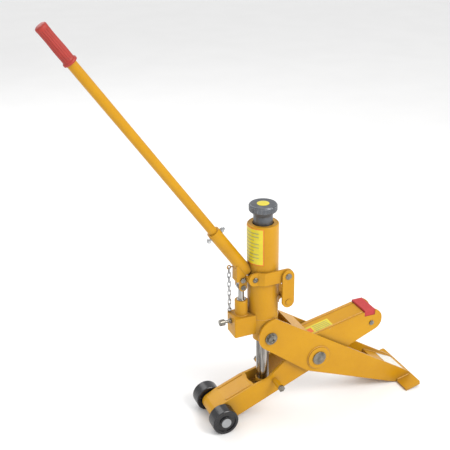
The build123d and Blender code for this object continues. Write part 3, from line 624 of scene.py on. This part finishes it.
def grip_profile():
    """Rows of height, radius and share of the ribs' depth, from the collar to the dome."""
    collar = [
        (0.0000, 0.0128, 0.0), (0.0000, 0.0172, 0.0), (0.0008, 0.0178, 0.0), (0.0050, 0.0178, 0.0),
        (0.0060, 0.0172, 0.0), (0.0068, 0.0150, 0.0), (0.0100, 0.0146, 0.0), (RIBS_START, 0.0146, 1.0),
    ]
    ribs = []
    for step in range(1, RIBS_RINGS):
        share = step / RIBS_RINGS
        swell = RIBS_SWELL * math.sin(math.pi * share * 2)
        ribs.append((RIBS_START + RIBS_RUN * share, RIBS_R + swell, 1.0))
    band = [(0.0945, 0.0146, 1.0), (0.0960, 0.0148, 0.0), (0.1010, 0.0149, 0.0)]
    dome = [(0.1038, 0.0140, 0.0), (0.1054, 0.0115, 0.0), (0.1060, 0.0070, 0.0), (0.1061, 0.0001, 0.0)]
    return collar + ribs + band + dome


def grip():
    """Moulded grip with lengthwise ribs, a flared collar, a plain end band and a domed end."""
    foot = middle("handle_grip") - HANDLE_UP * GRIP_LENGTH / 2
    profile = grip_profile()
    sides = GRIP_RIBS * STEPS_PER_RIB
    verts = []
    for height, radius, ribbed in profile:
        for step in range(sides):
            turn = math.tau * step / sides
            wave = max(0.0, math.cos(turn * GRIP_RIBS))
            groove = wave ** RIB_ROUNDNESS * RIB_DEPTH * ribbed
            out = FAR * math.cos(turn) + HANDLE_OUT * math.sin(turn)
            verts.append(foot + HANDLE_UP * height + out * (radius - groove))
    faces = skin(len(profile), sides)
    made = piece("grip_ribbed", verts, faces, MATERIALS["grip_red"], "lever", "grip_red")
    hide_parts("handle_grip")


# --- labels ---------------------------------------------------------------------------
LIME = printed("label_lime", (0.66, 0.56, 0.020), (0.55, 0.46, 0.018))
GREY_GREEN = printed("label_ink", (0.36, 0.34, 0.10), (0.28, 0.27, 0.09))
ORANGE = printed("label_orange", (0.72, 0.13, 0.012), (0.58, 0.10, 0.012))
WHITE = printed("label_white", (0.74, 0.73, 0.68), (0.60, 0.58, 0.52), 0.4)
LABEL_LIFT = 0.00035
PRINT_LIFT = 0.0004
PATCH_STEPS = (28, 6)


def sheet(name, place, steps, material, body):
    """A thin printed patch; place(u, v, lift) gives a point of it, with u and v from 0 to 1."""
    columns, rows = steps
    verts = []
    for lift in (LABEL_LIFT, LABEL_LIFT * 0.1):
        for row in range(rows + 1):
            for column in range(columns + 1):
                verts.append(place(column / columns, row / rows, lift))
    faces = []
    layer = (columns + 1) * (rows + 1)
    for row in range(rows):
        for column in range(columns):
            a = row * (columns + 1) + column
            b = a + columns + 1
            faces.append((a, a + 1, b + 1, b))
            faces.append((layer + a, layer + b, layer + b + 1, layer + a + 1))
    rim = list(range(columns + 1))
    rim += [r * (columns + 1) + columns for r in range(1, rows + 1)]
    rim += [rows * (columns + 1) + c for c in range(columns - 1, -1, -1)]
    rim += [r * (columns + 1) for r in range(rows - 1, 0, -1)]
    for index, here in enumerate(rim):
        there = rim[(index + 1) % len(rim)]
        faces.append((here, layer + here, layer + there, there))
    return piece(name, verts, faces, material, body, smooth=False)


def flat(corner, across, up):
    """Places a flat patch that spans across and up from its corner."""
    out = across.cross(up).normalized()
    return lambda u, v, lift: corner + across * u + up * v + out * lift


def cylinder_patch(name, angles, heights, material, extra=0.0):
    """A patch wrapped on the cylinder between two angles and two heights from its middle."""
    def place(u, v, lift):
        angle = angles[0] + (angles[1] - angles[0]) * u
        height = heights[0] + (heights[1] - heights[0]) * v
        return on_unit(CYLINDER_R + lift + extra, angle, height)
    sheet(name, place, PATCH_STEPS, material, "jack_unit")


def cylinder_label():
    """Lime panel with an orange border and blank pictogram bars; it carries no words."""
    left, right = -204.0, -112.0
    low, high = 0.0295, 0.1345
    edge, rise = 2.4, 0.0018
    bar_inset, long_bar, short_bar = 12, 62, 44
    first_bar, bar_pitch, bar_height = 0.010, 0.0100, 0.0026
    cylinder_patch("label_body", (left, right), (low, high), LIME)
    cylinder_patch("label_edge_low", (left, right), (low, low + rise), ORANGE, PRINT_LIFT)
    cylinder_patch("label_edge_high", (left, right), (high - rise, high), ORANGE, PRINT_LIFT)
    cylinder_patch("label_edge_left", (left, left + edge), (low, high), ORANGE, PRINT_LIFT)
    cylinder_patch("label_edge_right", (right - edge, right), (low, high), ORANGE, PRINT_LIFT)
    for row in range(9):
        base = low + first_bar + row * bar_pitch
        width = long_bar if row % 3 else short_bar
        span = (left + bar_inset, left + bar_inset + width)
        cylinder_patch(f"label_bar_{row}", span, (base, base + bar_height), GREY_GREEN, PRINT_LIFT)


# The decks' tops as x and z, and the label's corner as x and y, in millimetres for at().
DECK_SLOPE = 0.2235
DECK_END = (446.8, 260.2)
DECK_LABEL_AT = (281.0, -29.0)
TOE_DECK_TOP = (508.0, 79.7)
TOE_DECK_FOOT = (618.5, 23.5)


def deck_label():
    """The label on the lift arm's front deck: an orange badge and four plain bars."""
    length, width = 0.076, 0.039
    badge_length, badge_width = 0.014, 0.022
    bar_length, bar_width, bar_pitch = 0.048, 0.0028, 0.0078
    slope = Vector((1, 0, DECK_SLOPE)).normalized()
    rise = UP * PRINT_LIFT
    x, y = DECK_LABEL_AT
    corner = at(x, y, DECK_END[1] + DECK_SLOPE * (x - DECK_END[0]))
    sheet("label_deck", flat(corner, slope * length, FAR * width), (8, 4), LIME, "lift_arm")
    badge_corner = corner + slope * 0.003 + FAR * 0.008 + rise
    badge = flat(badge_corner, slope * badge_length, FAR * badge_width)
    sheet("label_deck_badge", badge, (4, 4), ORANGE, "lift_arm")
    first_bar = corner + slope * 0.022 + FAR * 0.006 + rise
    for row in range(4):
        bar = flat(first_bar + FAR * bar_pitch * row, slope * bar_length, FAR * bar_width)
        sheet(f"label_deck_bar_{row}", bar, (4, 1), GREY_GREEN, "lift_arm")


def toe_label():
    """The pale plate on the toe deck."""
    length, width, below_top = 0.062, 0.080, 0.052
    top = at(TOE_DECK_TOP[0], 0, TOE_DECK_TOP[1])
    fall = (at(TOE_DECK_FOOT[0], 0, TOE_DECK_FOOT[1]) - top).normalized()
    corner = at(TOE_DECK_TOP[0], -40.0, TOE_DECK_TOP[1]) + fall * below_top
    sheet("label_toe", flat(corner, fall * length, FAR * width), (6, 6), WHITE, "foot_arm")


def top_sticker():
    """The round lime sticker on the top screw's face."""
    centre = on_unit(0, 0, KNOB_FACE)
    profile = [(0.0165, 0.0), (0.0165, 0.0003), (0.0160, 0.0004), (0.0001, 0.0004)]
    sides = 48
    verts = []
    for radius, lift in profile:
        for step in range(sides):
            turn = math.tau * step / sides
            out = UNIT_RIGHT * math.cos(turn) + FAR * math.sin(turn)
            verts.append(centre + UNIT_UP * lift + out * radius)
    piece("label_top", verts, skin(len(profile), sides), LIME, "top_screw")


# --- floor, light and camera ----------------------------------------------------------
FLOOR_HALF = 14.0
FLOOR_LIGHT = (0.90, 0.90, 0.90)
FLOOR_DARK = (0.88, 0.88, 0.88)
LIGHT_TARGET = (0.05, 0, 0.35)
SKY_STRENGTH = 0.9
CAMERA_PLACE = at(-747.3, -1841.1, 1484.9)
CAMERA_LOOK = Vector((0.3555, 0.8419, -0.4060))
CAMERA_LENS = 67.7
CAMERA_SENSOR = 36.0
CAMERA_REACH = 60.0


def floor():
    """A near-white studio floor."""
    g = Graph("floor")
    g.colour(g.mix(g.ramp(g.noise(3.0, 3.0), 0.3, 0.7), FLOOR_LIGHT, FLOOR_DARK))
    g.set(Roughness=0.7)
    corners = [(FLOOR_HALF * x, FLOOR_HALF * y, 0) for x, y in ((-1, -1), (1, -1), (1, 1), (-1, 1))]
    mesh = bpy.data.meshes.new("floor")
    mesh.from_pydata(corners, [], [(0, 1, 2, 3)])
    mesh.materials.append(g.mat)
    made = bpy.data.objects.new("floor", mesh)
    bpy.context.scene.collection.objects.link(made)


def area_light(name, place, size, power, colour=(1, 1, 1)):
    """A square lamp that faces the object."""
    data = bpy.data.lights.new(name, "AREA")
    data.size = size
    data.energy = power
    data.color = colour
    made = bpy.data.objects.new(name, data)
    made.location = place
    look = Vector(LIGHT_TARGET) - Vector(place)
    made.rotation_euler = look.to_track_quat("-Z", "Y").to_euler()
    bpy.context.scene.collection.objects.link(made)


def world():
    """An even white surround."""
    sky = bpy.data.worlds.new("studio")
    sky.use_nodes = True
    background = sky.node_tree.nodes["Background"]
    background.inputs[0].default_value = (1.0, 1.0, 1.0, 1.0)
    background.inputs[1].default_value = SKY_STRENGTH
    bpy.context.scene.world = sky


def camera():
    """The photograph's viewpoint."""
    data = bpy.data.cameras.new("camera")
    data.lens = CAMERA_LENS
    data.sensor_width = CAMERA_SENSOR
    data.clip_end = CAMERA_REACH
    made = bpy.data.objects.new("camera", data)
    made.location = CAMERA_PLACE
    made.rotation_euler = CAMERA_LOOK.to_track_quat("-Z", "Y").to_euler()
    bpy.context.scene.collection.objects.link(made)
    bpy.context.scene.camera = made


foot_arm_welds()
lift_arm_welds()
pivot_welds()
unit_welds()
chain()
grip()
cylinder_label()
deck_label()
toe_label()
top_sticker()
floor()
world()
area_light("key", (1.3, -2.2, 2.6), 1.6, 75.0, (1.0, 0.985, 0.96))
area_light("fill", (-2.6, -1.6, 1.6), 2.2, 14.0)
area_light("rim", (-0.6, 2.4, 2.6), 1.8, 30.0)
camera()
bpy.context.scene.view_settings.view_transform = "Standard"

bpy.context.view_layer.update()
